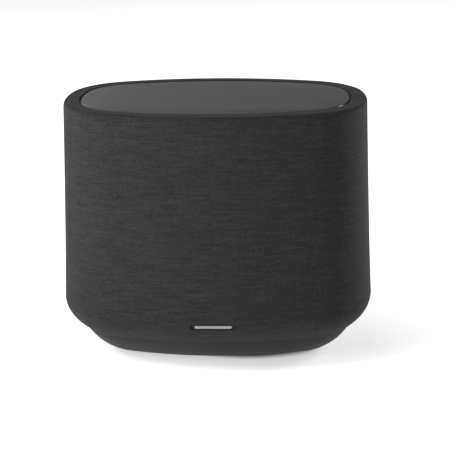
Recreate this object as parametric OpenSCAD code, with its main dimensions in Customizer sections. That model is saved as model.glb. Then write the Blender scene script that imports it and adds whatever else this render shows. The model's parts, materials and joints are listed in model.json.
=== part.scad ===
// Smart home hub with a cloth-wrapped oval body: two woofers, two tweeters and two passive radiators in a
// sealed cabinet, a touch-glass lid on top, and a moulded plinth on a rubber ring below.
// The front faces -Y, +Z is up, and the origin is on the table under the middle of the body.

/* [Body] */
// Width across the widest part of the body
body_w = 310; // [304:1:314]
// Depth across the widest part, front to back
body_d = 203; // [201:1:207]
// Height from the table to the cloth rim
body_h = 256; // [254:1:262]
// Height of the widest part above the table
belly_z = 57.2; // [56:0.2:60]
// How much the side leans inwards from the widest part up to the rim
top_lean = 5.6; // [4:0.2:7]
// Radius of the rolled edge round the rim
rim_roll = 3.9; // [3:0.1:5]
// How far the cloth tucks in under the body
tuck_in = 20.4; // [19:0.2:22]
// Height of the seam between the cloth and the plinth
seam_z = 27.8; // [27:0.2:29]

/* [Skin] */
// Thickness of the woven cloth
cloth_t = 1.2; // [0.8:0.1:1.6]
// Wall thickness of the frame that carries the cloth
frame_t = 2; // [1.6:0.1:2.4]
// Width of each sound slot in the frame
slot_w = 10; // [6:1:12]
// Columns of sound slots
slot_columns = 15; // [5:2:15]

/* [Lid] */
// Inset of the glass from the widest outline
glass_inset = 23; // [22.8:0.1:24]
// Thickness of the glass
glass_t = 3; // [2:0.1:3.2]
// Depth of the glass face below the cloth rim
glass_drop = 0.2; // [0:0.1:0.3]
// Chamfer round the edge of the glass
glass_chamfer = 0.6; // [0.3:0.1:1]

/* [Plinth] */
// Height of the rubber ring below the plinth's underside
foot_h = 1.6; // [1:0.1:2]
// Height of the collar that carries the chassis plate
collar_z = 42; // [40:0.5:42]
// Number of screws along each long side of the bottom cover
cover_screws = 3; // [2:1:3]

/* [Cabinet] */
// Distance of the flat baffle faces from the middle plane
baffle_y = 66; // [64:0.5:66]
// Thickness of the front baffle
baffle_t = 6; // [5:0.5:8]
// Wall thickness of the cabinet shell
cabinet_t = 4; // [3:0.5:5]
// Height of the cabinet's roof above the table
cabinet_top_z = 232; // [230:0.5:232]

/* [Drivers] */
// Radius of a woofer's flange
woofer_r = 52; // [50:0.5:53]
// Sideways distance of a driver pair from the middle
driver_x = 55; // [54:0.5:56]
// Height of the woofers' centres
woofer_z = 110; // [106:1:114]
// Height of the tweeters' centres
tweeter_z = 197; // [194:1:199]
// Sideways distance of a passive radiator from the middle
radiator_x = 54; // [52:0.5:55]
// Height of the passive radiators' centres
radiator_z = 131; // [131:1:150]

/* [Rear panel] */
// Width of the stadium-shaped panel
panel_w = 100; // [96:1:110]
// Height of the panel
panel_h = 30; // [26:1:30]
// Height of the panel's centre above the table
panel_z = 68; // [66:0.5:68]
// Radius of the round push buttons
button_r = 4.4; // [4:0.1:4.6]
// Radial gap between a button and its bore
button_gap = 0.1; // [0.05:0.05:0.2]

/* [Badge] */
// Length of the stadium-shaped badge
badge_w = 45; // [40:1:60]
// Height of the badge
badge_h = 8.6; // [7:0.2:9]
// Height of the badge's centre above the table
badge_z = 50.8; // [50:0.2:52]

/* [Hidden] */
$fn = 96;

half_w = body_w/2;
half_d = body_d/2;

// The outline is eight tangent arcs. Their centres lie on an 11-60-61 and a 57-176-185 triangle, so that
// every point where two arcs meet is an exact decimal, and an inset outline uses the same centres.
side_step = 1.4;
tip_step = (48*side_step - half_w + half_d)/10;
corner_r = half_d - 11*tip_step - 9*side_step;
corner_x = 57*side_step;
corner_y = 11*tip_step;
tip_r = corner_r + 61*tip_step;
tip_x = half_w - tip_r;
side_r = corner_r + 185*side_step;
side_y = half_d - side_r;

lip_inset = glass_inset - 1.2;
lip_depth = 5;
skin_gap = 0.1;
frame_from = cloth_t + skin_gap;
frame_to = frame_from + frame_t;

carrier_t = 3.8;
glass_top = body_h - glass_drop;
glass_z = glass_top - glass_t;
sheet_t = 0.4;
carrier_z = glass_z - sheet_t - carrier_t;
mic_x_places = [-48, -20, 20, 48];

rim_z = seam_z - 0.2;
floor_z = foot_h + 3.2;
cover_t = 1.6;
groove_z = foot_h + cover_t;
groove = [57, 66];
cover_pitch = 50;
cover_screw_inset = 70;

chassis_t = 4;
cabinet_inset = 16;
cabinet_z = collar_z + chassis_t;
cabinet_h = cabinet_top_z - cabinet_z;
gasket_t = 1.2;
shell_front = -baffle_y + baffle_t + gasket_t;
baffle_screw_x = 113;
baffle_screw_z = [for (k = [0:3]) cabinet_z + 8 + k*(cabinet_h - 16)/3];

woofer_ear_r = 52;
tweeter_hole_r = 18.6;
tweeter_screw_r = 23;
radiator_ear_r = 46;

board_t = 1.6;
top_board_z = cabinet_top_z + 8;
power_board_z = 14;
main_x = -48;
amp_x = 68;

panel_face = 1.2;
panel_back = 6.2;
inlet_x = -28;
pin_pitch = 8.6;
pair_x = 6;
mic_x = 20;
reset_x = 31;
button_board_y = 85;

// ---- Outline ----

module tip_wedge() {
    polygon([[tip_x, 0], [tip_x + 120*tip_step, 22*tip_step], [tip_x + 120*tip_step, -22*tip_step]]);
}

module side_wedge() {
    half = -57*side_y/176;
    polygon([[-half, 0], [half, 0], [114, side_y + 352], [-114, side_y + 352]]);
}

module corner_wedge() {
    translate([corner_x, corner_y]) polygon([[0, 0], [120, 22], [171, 528], [57, 176]]);
}

// Repeats its children at each tip, side or corner of the outline
module at_tips() {
    for (m = [0, 1]) mirror([m, 0, 0]) children();
}

module at_sides() {
    for (m = [0, 1]) mirror([0, m, 0]) children();
}

module at_corners() {
    for (m = [0, 1], n = [0, 1]) mirror([m, 0, 0]) mirror([0, n, 0]) children();
}

// The flat outline, inset all round by d
module oval(d) {
    at_tips() intersection() {
        translate([tip_x, 0]) circle(tip_r - d);
        tip_wedge();
    }
    at_sides() intersection() {
        translate([0, side_y]) circle(side_r - d);
        side_wedge();
    }
    at_corners() intersection() {
        translate([corner_x, corner_y]) circle(corner_r - d);
        corner_wedge();
    }
}

module plate(d, z, t) {
    translate([0, 0, z]) linear_extrude(t) oval(d);
}

// Sweeps a wall profile round the outline. The profile's x is the inset and its y is the height.
module turned(r) {
    rotate_extrude() translate([r, 0]) mirror([1, 0]) children();
}

module oval_ring() {
    at_tips() intersection() {
        translate([tip_x, 0, 0]) turned(tip_r) children();
        linear_extrude(body_h) tip_wedge();
    }
    at_sides() intersection() {
        translate([0, side_y, 0]) turned(side_r) children();
        linear_extrude(body_h) polygon([[0, side_y], [114, side_y + 352], [-114, side_y + 352]]);
    }
    at_corners() intersection() {
        translate([corner_x, corner_y, 0]) turned(corner_r) children();
        linear_extrude(body_h) corner_wedge();
    }
}

module oval_band(from, to, z0, z1) {
    oval_ring() polygon([[from, z0], [to, z0], [to, z1], [from, z1]]);
}

function bezier(p, n) = [for (i = [0:n]) let (t = i/n, u = 1 - t)
    u*u*u*p[0] + 3*t*u*u*p[1] + 3*t*t*u*p[2] + t*t*t*p[3]];
function arc(c, r, from, to, n) = [for (i = [0:n]) let (q = from + (to - from)*i/n) c + r*[cos(q), sin(q)]];
function unit(v) = v/norm(v);
function reversed(p) = [for (i = [len(p) - 1:-1:0]) p[i]];
// The inward normal of a profile's segment i, and the profile moved inwards by t with mitred corners
function normal(p, i) = let (d = unit(p[i + 1] - p[i])) [-d[1], d[0]];
function inward(p, t) = [for (i = [0:len(p) - 1])
    let (a = normal(p, max(i - 1, 0)), b = normal(p, min(i, len(p) - 2))) p[i] + t*(a + b)/(1 + a*b)];

side_top_z = body_h - rim_roll;
lean_steps = 5;
lean_power = 0.8;
lean_line = [for (i = [1:lean_steps])
    [top_lean*pow(1 - i/lean_steps, lean_power), side_top_z + (belly_z - side_top_z)*i/lean_steps]];
tuck_line = bezier([[0, belly_z], [0, belly_z - 13.8], [tuck_in - 7.5, seam_z + 5.3], [tuck_in, seam_z]], 9);
// The outer line of the cloth, from inside the rim, over the roll and down to the seam
skin_line = concat(
    [[lip_inset, body_h - lip_depth], [lip_inset, body_h]],
    arc([top_lean + rim_roll, side_top_z], rim_roll, 90, 180, 5),
    lean_line,
    [for (i = [1:9]) tuck_line[i]]
);

module skin_band(from, to) {
    oval_ring() polygon(concat(inward(skin_line, from), reversed(inward(skin_line, to))));
}

// ---- Small shared shapes ----

module stadium(w, h) {
    square([w - h, h], center = true);
    for (s = [-1, 1]) translate([s*(w - h)/2, 0]) circle(d = h);
}

// A stadium drawn in the XZ plane and extruded along Y
module stadium_prism(w, h, z, y0, y1) {
    translate([0, y1, z]) rotate([90, 0, 0]) linear_extrude(y1 - y0) stadium(w, h);
}

// A cylinder along Y, from y0 to y1
module rod_y(r, x, z, y0, y1) {
    translate([x, y1, z]) rotate([90, 0, 0]) cylinder(h = y1 - y0, r = r);
}

module box(x0, x1, y0, y1, z0, z1) {
    translate([x0, y0, z0]) cube([x1 - x0, y1 - y0, z1 - z0]);
}

// A cross-head screw along +Z: its shaft runs down from z = 0 and its head sits on z = 0
module screw(shaft_r, shaft_l, head_r, head_h) {
    difference() {
        union() {
            translate([0, 0, -shaft_l]) cylinder(h = shaft_l, r = shaft_r, $fn = 32);
            cylinder(h = head_h*0.6, r = head_r, $fn = 32);
            translate([0, 0, head_h*0.6]) cylinder(h = head_h*0.4, r1 = head_r, r2 = head_r*0.75, $fn = 32);
        }
        for (a = [0, 90]) rotate(a) {
            translate([-head_r*0.55, -0.35, head_h*0.45]) cube([head_r*1.1, 0.7, head_h]);
        }
    }
}

// A driver's own frame has +Z pointing out of the cabinet: front drivers face -Y and rear ones +Y
module at_front(x, z) {
    translate([x, -baffle_y, z]) rotate([90, 0, 0]) children();
}

module at_rear(x, z) {
    translate([x, baffle_y, z]) rotate([-90, 0, 0]) children();
}

module ears(r, count, first) {
    for (k = [0:count - 1]) rotate(first + 360*k/count) translate([r, 0]) children();
}

// ---- Skin and lid ----

module badge_opening(gap) {
    stadium_prism(badge_w + 2*gap, badge_h + 2*gap, badge_z, -half_d - 5, -half_d + 15);
}

module panel_opening(gap) {
    stadium_prism(panel_w + 2*gap, panel_h + 2*gap, panel_z, half_d - 15, half_d + 5);
}

module fabric_sleeve() {
    color([0.23, 0.23, 0.22]) difference() {
        skin_band(0, cloth_t);
        badge_opening(0.2);
        panel_opening(0.2);
    }
}

module sound_slots() {
    slot_pitch = 16;
    slot_rows = 3;
    slot_h = 44;
    for (i = [0:slot_columns - 1], j = [0:slot_rows - 1]) {
        x = (i - (slot_columns - 1)/2)*slot_pitch;
        z = 88 + j*(slot_h + 6);
        box(x - slot_w/2, x + slot_w/2, -half_d, half_d, z, z + slot_h);
    }
}

module sleeve_frame() {
    color([0.12, 0.12, 0.13]) difference() {
        skin_band(frame_from, frame_to);
        sound_slots();
        badge_opening(0.4);
        panel_opening(0.3);
    }
}

module top_glass() {
    color([0.35, 0.35, 0.35]) {
        plate(glass_inset + 7, glass_z, glass_t);
        oval_ring() polygon([
            [glass_inset, glass_z], [glass_inset + 16, glass_z], [glass_inset + 16, glass_top],
            [glass_inset + glass_chamfer, glass_top], [glass_inset, glass_top - glass_chamfer]
        ]);
    }
}

module lid_gasket() {
    foot = lip_inset - frame_to;
    seat_z = body_h - lip_depth - 0.1;
    bead = [lip_inset + 0.1, glass_inset - 0.1];
    bead_z = glass_top - 1.3;
    color([0.05, 0.05, 0.05]) oval_ring() polygon([
        [foot, seat_z - 1.7], [24, seat_z - 1.7], [24, carrier_z + carrier_t], [27, carrier_z + carrier_t],
        [27, glass_z], [bead[1], glass_z], [bead[1], bead_z], [bead[0], bead_z], [bead[0], seat_z],
        [foot, seat_z]
    ]);
}

module touch_sheet() {
    color([0.55, 0.38, 0.2]) plate(27.2, glass_z - sheet_t, sheet_t);
}

module light_slot(gap, z, t) {
    translate([0, -62, z]) linear_extrude(t) stadium(24 + 2*gap, 4 + 2*gap);
}

module lid_carrier() {
    skirt = [24, 27];
    mic_hole_r = 1;
    color([0.16, 0.16, 0.17]) difference() {
        union() {
            plate(28, carrier_z, carrier_t);
            oval_band(skirt[0], 38, carrier_z, carrier_z + carrier_t);
            oval_band(skirt[0], skirt[1], cabinet_top_z, carrier_z + 1);
        }
        light_slot(0.2, carrier_z - 1, carrier_t + 2);
        for (x = mic_x_places) translate([x, -64, carrier_z - 1]) {
            cylinder(h = carrier_t + 2, r = mic_hole_r, $fn = 24);
        }
    }
}

module status_light() {
    color([0.85, 0.9, 0.92]) light_slot(0, carrier_z, carrier_t);
}

module mic_board() {
    color([0.1, 0.3, 0.18]) box(-60, 60, -68, -57, carrier_z - 1, carrier_z);
    color([0.75, 0.75, 0.75]) for (x = mic_x_places) {
        box(x - 1.9, x + 1.9, -65.5, -62.5, carrier_z - 2.1, carrier_z - 1);
    }
}

// ---- Plinth ----

module cover_screw_places() {
    for (k = [0:cover_screws - 1], s = [-1, 1]) {
        x = (k - (cover_screws - 1)/2)*cover_pitch;
        translate([x, s*(side_y + sqrt(pow(side_r - cover_screw_inset, 2) - x*x)), 0]) children();
    }
    for (s = [-1, 1]) translate([s*(half_w - cover_screw_inset), 0, 0]) children();
}

module base_plinth() {
    flange_end = 69.5;
    wall = [26, 29];
    outer = bezier([[tuck_in - 0.2, rim_z], [30.3, foot_h + 8.6], [50.6, foot_h], [56, foot_h]], 9);
    flange = [[groove[0], foot_h], [groove[0], groove_z], [flange_end, groove_z], [flange_end, floor_z]];
    inner = bezier([[56, floor_z], [51, floor_z], [36, 12.5], [wall[1], 23]], 6);
    color([0.2, 0.2, 0.21]) difference() {
        union() {
            oval_ring() polygon(concat(
                outer, flange, inner, [[wall[1], collar_z], [wall[0], collar_z], [wall[0], rim_z]]
            ));
            cover_screw_places() translate([0, 0, groove_z + 0.4]) cylinder(h = 9, r = 3.6, $fn = 32);
        }
        cover_screw_places() cylinder(h = 11, r = 1.3, $fn = 32);
    }
}

module foot_ring() {
    top_z = groove_z - 0.1;
    color([0.07, 0.07, 0.07]) oval_ring() polygon([
        [groove[0] + 0.1, top_z], [groove[0] + 0.1, 0.6], [groove[0] + 0.7, 0], [groove[1] - 0.7, 0],
        [groove[1] - 0.1, 0.6], [groove[1] - 0.1, top_z]
    ]);
}

module bottom_cover() {
    color([0.15, 0.15, 0.16]) difference() {
        plate(groove[1] + 0.2, foot_h, cover_t);
        cover_screw_places() cylinder(h = 10, r = 1.5, $fn = 32);
        cover_screw_places() cylinder(h = foot_h + 1.1, r = 3, $fn = 32);
        spacer_places(power_holes, 0) cylinder(h = 10, r = 1.4, $fn = 32);
    }
}

module base_screws() {
    color([0.45, 0.45, 0.47]) cover_screw_places() {
        translate([0, 0, foot_h + 1.1]) mirror([0, 0, 1]) screw(1.25, 8, 2.7, 1);
    }
}

module chassis_plate() {
    color([0.5, 0.5, 0.52]) difference() {
        plate(22, collar_z, chassis_t);
        for (s = [-1, 1]) translate([s*92, 0, collar_z - 1]) cylinder(h = chassis_t + 2, r = 9);
        translate([0, 0, collar_z - 1]) linear_extrude(chassis_t + 2) stadium(70, 24);
    }
}

// ---- Cabinet ----

module cabinet_plan(d, y0, y1) {
    intersection() {
        oval(d);
        translate([-half_w, y0]) square([body_w, y1 - y0]);
    }
}

module baffle_screw_places() {
    for (s = [-1, 1], z = baffle_screw_z) translate([s*baffle_screw_x, 0, z]) rotate([90, 0, 0]) children();
}

module cabinet_shell() {
    color([0.17, 0.17, 0.18]) difference() {
        union() {
            difference() {
                translate([0, 0, cabinet_z]) linear_extrude(cabinet_h) {
                    cabinet_plan(cabinet_inset, shell_front, baffle_y);
                }
                translate([0, 0, cabinet_z + cabinet_t]) linear_extrude(cabinet_h - 2*cabinet_t) {
                    cabinet_plan(cabinet_inset + cabinet_t, -half_d, baffle_y - cabinet_t);
                }
            }
            baffle_screw_places() translate([0, 0, -shell_front - 16]) cylinder(h = 16, r = 5, $fn = 48);
        }
        baffle_screw_places() translate([0, 0, -shell_front - 12]) cylinder(h = 20, r = 1.5, $fn = 32);
        for (s = [-1, 1]) at_rear(s*radiator_x, radiator_z) {
            translate([0, 0, -10]) cylinder(h = 20, r = 43.4);
            ears(radiator_ear_r, 4, 45) translate([0, 0, -10]) cylinder(h = 20, r = 1.3, $fn = 32);
        }
        translate([0, 20, cabinet_top_z - 10]) cylinder(h = 20, r = 9);
    }
}

module front_baffle() {
    color([0.14, 0.14, 0.15]) difference() {
        translate([0, 0, cabinet_z]) linear_extrude(cabinet_h) {
            cabinet_plan(cabinet_inset, -baffle_y, -baffle_y + baffle_t);
        }
        for (s = [-1, 1]) {
            at_front(s*driver_x, woofer_z) {
                translate([0, 0, -20]) cylinder(h = 40, r = 46.3);
                ears(woofer_ear_r, 4, 45) translate([0, 0, -20]) cylinder(h = 40, r = 1.6, $fn = 32);
            }
            at_front(s*driver_x, tweeter_z) {
                translate([0, 0, -20]) cylinder(h = 40, r = tweeter_hole_r);
                ears(tweeter_screw_r, 3, 90) translate([0, 0, -20]) cylinder(h = 40, r = 1.3, $fn = 32);
            }
        }
        baffle_screw_places() {
            translate([0, 0, 40]) cylinder(h = 40, r = 1.8, $fn = 32);
            translate([0, 0, baffle_y - 3]) cylinder(h = 20, r = 3.6, $fn = 32);
        }
    }
}

module baffle_gasket() {
    y1 = shell_front;
    color([0.08, 0.08, 0.08]) difference() {
        box(-123, 123, y1 - gasket_t, y1, cabinet_z + 0.5, cabinet_top_z - 0.5);
        box(-106, 106, y1 - 5, y1 + 5, cabinet_z + cabinet_t, cabinet_top_z - cabinet_t);
        baffle_screw_places() translate([0, 0, -y1 - 5]) cylinder(h = 20, r = 1.8, $fn = 32);
    }
}

module baffle_screws() {
    color([0.4, 0.4, 0.42]) baffle_screw_places() translate([0, 0, baffle_y - 3]) screw(1.45, 14, 3, 2);
}

// ---- Drivers ----

// A driver's mounting flange: a flat ring with four screw ears
module eared_flange(outer_r, bore_r, ear_at, ear_r, hole_r) {
    linear_extrude(3) difference() {
        union() {
            circle(outer_r);
            ears(ear_at, 4, 45) circle(ear_r, $fn = 48);
        }
        circle(bore_r);
        ears(ear_at, 4, 45) circle(hole_r, $fn = 32);
    }
}

module woofer_basket() {
    color([0.25, 0.26, 0.28]) {
        eared_flange(woofer_r, 45, woofer_ear_r, 4.5, 1.7);
        difference() {
            rotate_extrude() polygon([
                [46, 1], [45.8, 1], [44.4, -2.4], [44, -6], [25, -36], [14.5, -36], [14.5, -39], [27, -39],
                [46, -8]
            ]);
            ears(0, 6, 0) translate([26, -8, -32]) cube([24, 16, 20]);
        }
    }
}

module woofer_motor() {
    color([0.3, 0.3, 0.3]) rotate_extrude() polygon([
        [0, -60], [32, -60], [32, -56], [35, -56], [35, -42], [32, -42], [32, -39], [13.9, -39], [13.9, -42],
        [20, -42], [20, -56], [12.2, -56], [12.2, -39], [0, -39]
    ]);
}

// Half the profile of a dome: a cap of base radius r and height h, wall t, whose rim is at height z
function dome_profile(r, h, t, z) =
    let (s = (r*r + h*h)/(2*h), c = [0, z + h - s], q = 90 - asin(r/s))
    concat(arc(c, s, q, 90, 6), arc(c, s - t, 90, q, 6));

module woofer_cone() {
    color([0.13, 0.13, 0.14]) {
        rotate_extrude() polygon([
            [12.7, -50], [13.3, -50], [13.3, -21], [34, 1.8], [37, 1.8], [37, 3], [33.5, 3], [12.7, -19.6]
        ]);
        rotate_extrude() polygon(dome_profile(17.4, 5, 1, -15.2));
    }
}

// A half-roll surround: lips from r0 to r1 joined by a roll, standing on height z
module half_roll(r0, r1, lip, t, z) {
    mid = (r0 + r1)/2;
    roll = (r1 - r0)/2;
    rotate_extrude() polygon(concat(
        [[r1 + lip, z], [r1 + lip, z + t], [mid + sqrt(roll*roll - t*t), z + t]],
        [for (i = [1:9]) [mid, z] + roll*[cos(18*i), sin(18*i)]],
        [[mid - sqrt(roll*roll - t*t), z + t], [r0 - lip, z + t], [r0 - lip, z]],
        reversed(arc([mid, z], roll - t, 0, 180, 10))
    ));
}

module woofer_surround() {
    color([0.06, 0.06, 0.06]) half_roll(36.6, 45.4, 3, 0.8, 3);
}

module woofer_spider() {
    steps = 8;
    from = 13.4;
    to = 27.6;
    line = [for (i = [0:steps]) [from + (to - from)*i/steps, -30 + (i % 2)*1.2]];
    color([0.7, 0.55, 0.3]) rotate_extrude() polygon(concat(line, reversed([for (p = line) p + [0, 0.6]])));
}

module tweeter_plate() {
    color([0.2, 0.2, 0.21]) difference() {
        rotate_extrude() polygon([
            [15, -1], [18, -1], [18, 0], [28, 0], [28, 2], [27, 2.8], [19, 2.6], [14.4, 0.9], [13.4, 0.9],
            [13.4, 0], [15, 0]
        ]);
        ears(tweeter_screw_r, 3, 90) translate([0, 0, -1]) cylinder(h = 5, r = 1.4, $fn = 32);
    }
}

module tweeter_motor() {
    color([0.32, 0.32, 0.33]) rotate_extrude() polygon([
        [0, -18], [18, -18], [18, -1], [13.5, -1], [13.5, -4], [15.5, -4], [15.5, -15], [12.2, -15],
        [12.2, -2], [0, -2]
    ]);
}

module tweeter_dome() {
    color([0.5, 0.5, 0.48]) {
        rotate_extrude() polygon([[12.6, -9], [13, -9], [13, 0.1], [13.2, 0.1], [13.2, 0.7], [12.6, 0.7]]);
        rotate_extrude() polygon(dome_profile(12.8, 3.8, 0.5, 0.4));
    }
}

module radiator_frame() {
    color([0.22, 0.22, 0.24]) {
        eared_flange(48, 41.6, radiator_ear_r, 4.2, 1.4);
        rotate_extrude() polygon([[42, -8], [43, -8], [43, 1], [42, 1]]);
    }
}

module radiator_plate() {
    color([0.12, 0.12, 0.13]) rotate_extrude() polygon([
        [0, -6], [12, -6], [12, 1.2], [29, 1.2], [31, 2], [33.6, 2], [33.6, 3], [0, 3]
    ]);
}

module radiator_surround() {
    color([0.06, 0.06, 0.06]) half_roll(33.2, 42, 1.4, 0.8, 3);
}

module driver_screws() {
    color([0.4, 0.4, 0.42]) for (s = [-1, 1]) {
        at_front(s*driver_x, woofer_z) ears(woofer_ear_r, 4, 45) {
            translate([0, 0, 3]) screw(1.5, 8.5, 2.6, 1.8);
        }
        at_front(s*driver_x, tweeter_z) ears(tweeter_screw_r, 3, 90) {
            translate([0, 0, 2.8]) screw(1.2, 8, 2.2, 1.4);
        }
        at_rear(s*radiator_x, radiator_z) ears(radiator_ear_r, 4, 45) {
            translate([0, 0, 3.9]) screw(1.2, 7.5, 2.2, 1.4);
        }
    }
}

// ---- Electronics ----

module board(x, w, d, z, holes) {
    difference() {
        box(x - w/2, x + w/2, -d/2, d/2, z, z + board_t);
        for (p = holes) translate([p[0], p[1], z - 1]) cylinder(h = board_t + 2, r = 1.4, $fn = 32);
    }
}

main_holes = [for (x = [-56, 56], y = [-36, 36]) [main_x + x, y]];
amp_holes = [for (x = [-40, 40], y = [-36, 36]) [amp_x + x, y]];
power_holes = [for (x = [-54, 54], y = [-12, 12]) [x, y]];

module main_board() {
    top = top_board_z + board_t;
    color([0.08, 0.28, 0.16]) board(main_x, 122, 80, top_board_z, main_holes);
    color([0.1, 0.1, 0.1]) for (p = [[-90, 20, 14], [-84, -22, 10], [-20, 26, 8], [-12, -26, 12]])
        box(p[0] - p[2]/2, p[0] + p[2]/2, p[1] - p[2]/2, p[1] + p[2]/2, top, top + 1.4);
    color([0.85, 0.85, 0.8]) for (x = [-70, -52, -34]) box(x - 6, x + 6, -39, -34, top, top + 4);
}

module board_shields() {
    top = top_board_z + board_t;
    wall = 0.4;
    color([0.78, 0.79, 0.8]) for (p = [[-62, 12, 26, 30], [-34, -10, 20, 22]]) {
        translate([p[0], p[1], top]) difference() {
            translate([-p[2]/2, -p[3]/2, 0]) cube([p[2], p[3], 3]);
            translate([wall - p[2]/2, wall - p[3]/2, -1]) cube([p[2] - 2*wall, p[3] - 2*wall, 4 - wall]);
        }
    }
}

module amp_board() {
    top = top_board_z + board_t;
    color([0.08, 0.28, 0.16]) board(amp_x, 92, 80, top_board_z, amp_holes);
    color([0.2, 0.2, 0.2]) for (x = [-30, -18, 18, 30]) {
        translate([amp_x + x, 27, top]) cylinder(h = 5, r = 4.5, $fn = 48);
    }
    color([0.85, 0.85, 0.8]) box(amp_x - 14, amp_x + 14, -39, -33, top, top + 4.5);
}

module heat_sink() {
    fins = 11;
    top = top_board_z + board_t;
    color([0.62, 0.63, 0.65]) {
        box(amp_x - 32, amp_x + 32, -24, 16, top, top + 1.6);
        for (i = [0:fins - 1]) {
            x = amp_x - 31.2 + i*6.24;
            box(x - 0.7, x + 0.7, -24, 16, top + 1, top + 5.4);
        }
    }
}

module power_board() {
    top = power_board_z + board_t;
    color([0.55, 0.45, 0.2]) board(0, 120, 32, power_board_z, power_holes);
    color([0.1, 0.1, 0.1]) box(42, 56, -8, 8, top, top + 12);
    color([0.9, 0.9, 0.88]) box(-58, -50, -7, 7, top, top + 9);
}

module transformer() {
    top = power_board_z + board_t;
    color([0.8, 0.65, 0.15]) box(-14, 14, -12, 12, top, top + 19);
    color([0.2, 0.2, 0.2]) for (s = [-1, 1]) box(s*16 - 2, s*16 + 2, -14, 14, top, top + 22);
}

module capacitors() {
    top = power_board_z + board_t;
    color([0.12, 0.14, 0.3]) for (x = [-41, -26]) translate([x, 0, top]) {
        cylinder(h = 21, r = 6.5);
        translate([0, 0, 21]) cylinder(h = 0.8, r1 = 6.5, r2 = 5.8);
    }
    color([0.12, 0.14, 0.3]) for (y = [-9, 9]) translate([31, y, top]) cylinder(h = 16, r = 5, $fn = 48);
}

module antennas() {
    color([0.7, 0.6, 0.3]) for (s = [-1, 1]) {
        box(s*126 - 0.4, s*126 + 0.4, -14, 14, cabinet_top_z + 2, cabinet_top_z + 13);
    }
}

module spacer_places(holes, z) {
    for (p = holes) translate([p[0], p[1], z]) children();
}

module board_spacers() {
    color([0.72, 0.66, 0.4]) {
        spacer_places(concat(main_holes, amp_holes), cabinet_top_z) difference() {
            cylinder(h = top_board_z - cabinet_top_z, r = 2.8, $fn = 32);
            translate([0, 0, 2]) cylinder(h = 10, r = 1.25, $fn = 32);
        }
        base = foot_h + cover_t;
        spacer_places(power_holes, base) difference() {
            cylinder(h = power_board_z - base, r = 2.8, $fn = 32);
            translate([0, 0, -1]) cylinder(h = 20, r = 1.25, $fn = 32);
        }
    }
}

module board_screws() {
    color([0.5, 0.5, 0.52]) {
        spacer_places(concat(main_holes, amp_holes), top_board_z + board_t) screw(1.2, 6, 2.4, 1.4);
        spacer_places(power_holes, power_board_z + board_t) screw(1.2, 5, 2.4, 1.4);
    }
}

// ---- Rear panel ----

module inlet_shape(grow) {
    for (s = [-1, 1]) translate([s*3.4, 0]) circle(r = 4.3 + grow, $fn = 64);
    square([7, 8.2 + 2*grow], center = true);
}

module inlet_prism(grow, y0, y1) {
    translate([inlet_x, y1, panel_z]) rotate([90, 0, 0]) linear_extrude(y1 - y0) inlet_shape(grow);
}

module rear_panel() {
    lip_w = 2;
    y_in = half_d - 15;
    y_out = half_d + 5;
    color([0.13, 0.13, 0.14]) difference() {
        union() {
            intersection() {
                stadium_prism(panel_w, panel_h, panel_z, y_in, y_out);
                oval_band(panel_face, panel_back, 0, body_h);
            }
            intersection() {
                stadium_prism(panel_w + 7, panel_h + 7, panel_z, y_in, y_out);
                oval_band(4.9, panel_back, 0, body_h);
            }
            intersection() {
                difference() {
                    stadium_prism(panel_w, panel_h, panel_z, y_in, y_out);
                    stadium_prism(panel_w - 2*lip_w, panel_h - 2*lip_w, panel_z, y_in - 1, y_out + 1);
                }
                oval_band(0, 3, 0, body_h);
            }
            for (x = [-5, 39]) rod_y(2, x, panel_z, button_board_y + board_t, half_d - 5);
        }
        inlet_prism(0, y_in - 10, y_out + 1);
        rod_y(button_r + button_gap, pair_x, panel_z, y_in, y_out);
        rod_y(button_r + button_gap, mic_x, panel_z, y_in, y_out);
        rod_y(1.5 + button_gap, reset_x, panel_z, y_in, y_out);
    }
}

module power_inlet() {
    front = half_d - 9;
    color([0.08, 0.08, 0.08]) difference() {
        translate([inlet_x, front, panel_z]) rotate([90, 0, 0]) linear_extrude(13.5) {
            square([24, 14], center = true);
            square([18, 17], center = true);
        }
        inlet_prism(0, half_d - 15, half_d);
        for (s = [-1, 1]) rod_y(1.2, inlet_x + s*pin_pitch/2, panel_z, half_d - 30, half_d);
    }
}

module inlet_pins() {
    color([0.8, 0.8, 0.82]) for (s = [-1, 1]) {
        x = inlet_x + s*pin_pitch/2;
        rod_y(1.2, x, panel_z, half_d - 24.5, half_d - 5.6);
        translate([x, half_d - 5.6, panel_z]) rotate([-90, 0, 0]) cylinder(h = 0.6, r1 = 1.2, r2 = 0.6);
    }
}

// A push button along Y: cap with a chamfered face, a retaining flange and a stem
module push_button(r, x, face_y, flange_y) {
    rod_y(r, x, panel_z, flange_y, face_y - 0.4);
    translate([x, face_y - 0.4, panel_z]) rotate([-90, 0, 0]) cylinder(h = 0.4, r1 = r, r2 = r - 0.4);
    rod_y(r + 1.2, x, panel_z, flange_y - 1.2, flange_y);
    rod_y(r*0.36, x, panel_z, button_board_y + 4.5, flange_y);
}

module pair_button() {
    color([0.18, 0.18, 0.19]) push_button(button_r, pair_x, half_d - 0.5, half_d - 7.6);
}

module mic_button() {
    color([0.18, 0.18, 0.19]) push_button(button_r, mic_x, half_d - 1, half_d - 7.6);
}

module reset_button() {
    color([0.18, 0.18, 0.19]) push_button(1.5, reset_x, half_d - 2.9, half_d - 8.3);
}

module button_board() {
    front = button_board_y + board_t;
    color([0.08, 0.28, 0.16]) box(-9, 43, button_board_y, front, panel_z - 7.5, panel_z + 7.5);
    color([0.75, 0.75, 0.77]) for (x = [pair_x, mic_x, reset_x]) {
        box(x - 3, x + 3, front, front + 1.2, panel_z - 3, panel_z + 3);
        rod_y(1.3, x, panel_z, front + 1, front + 1.7);
    }
}

// ---- Badge ----

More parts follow.
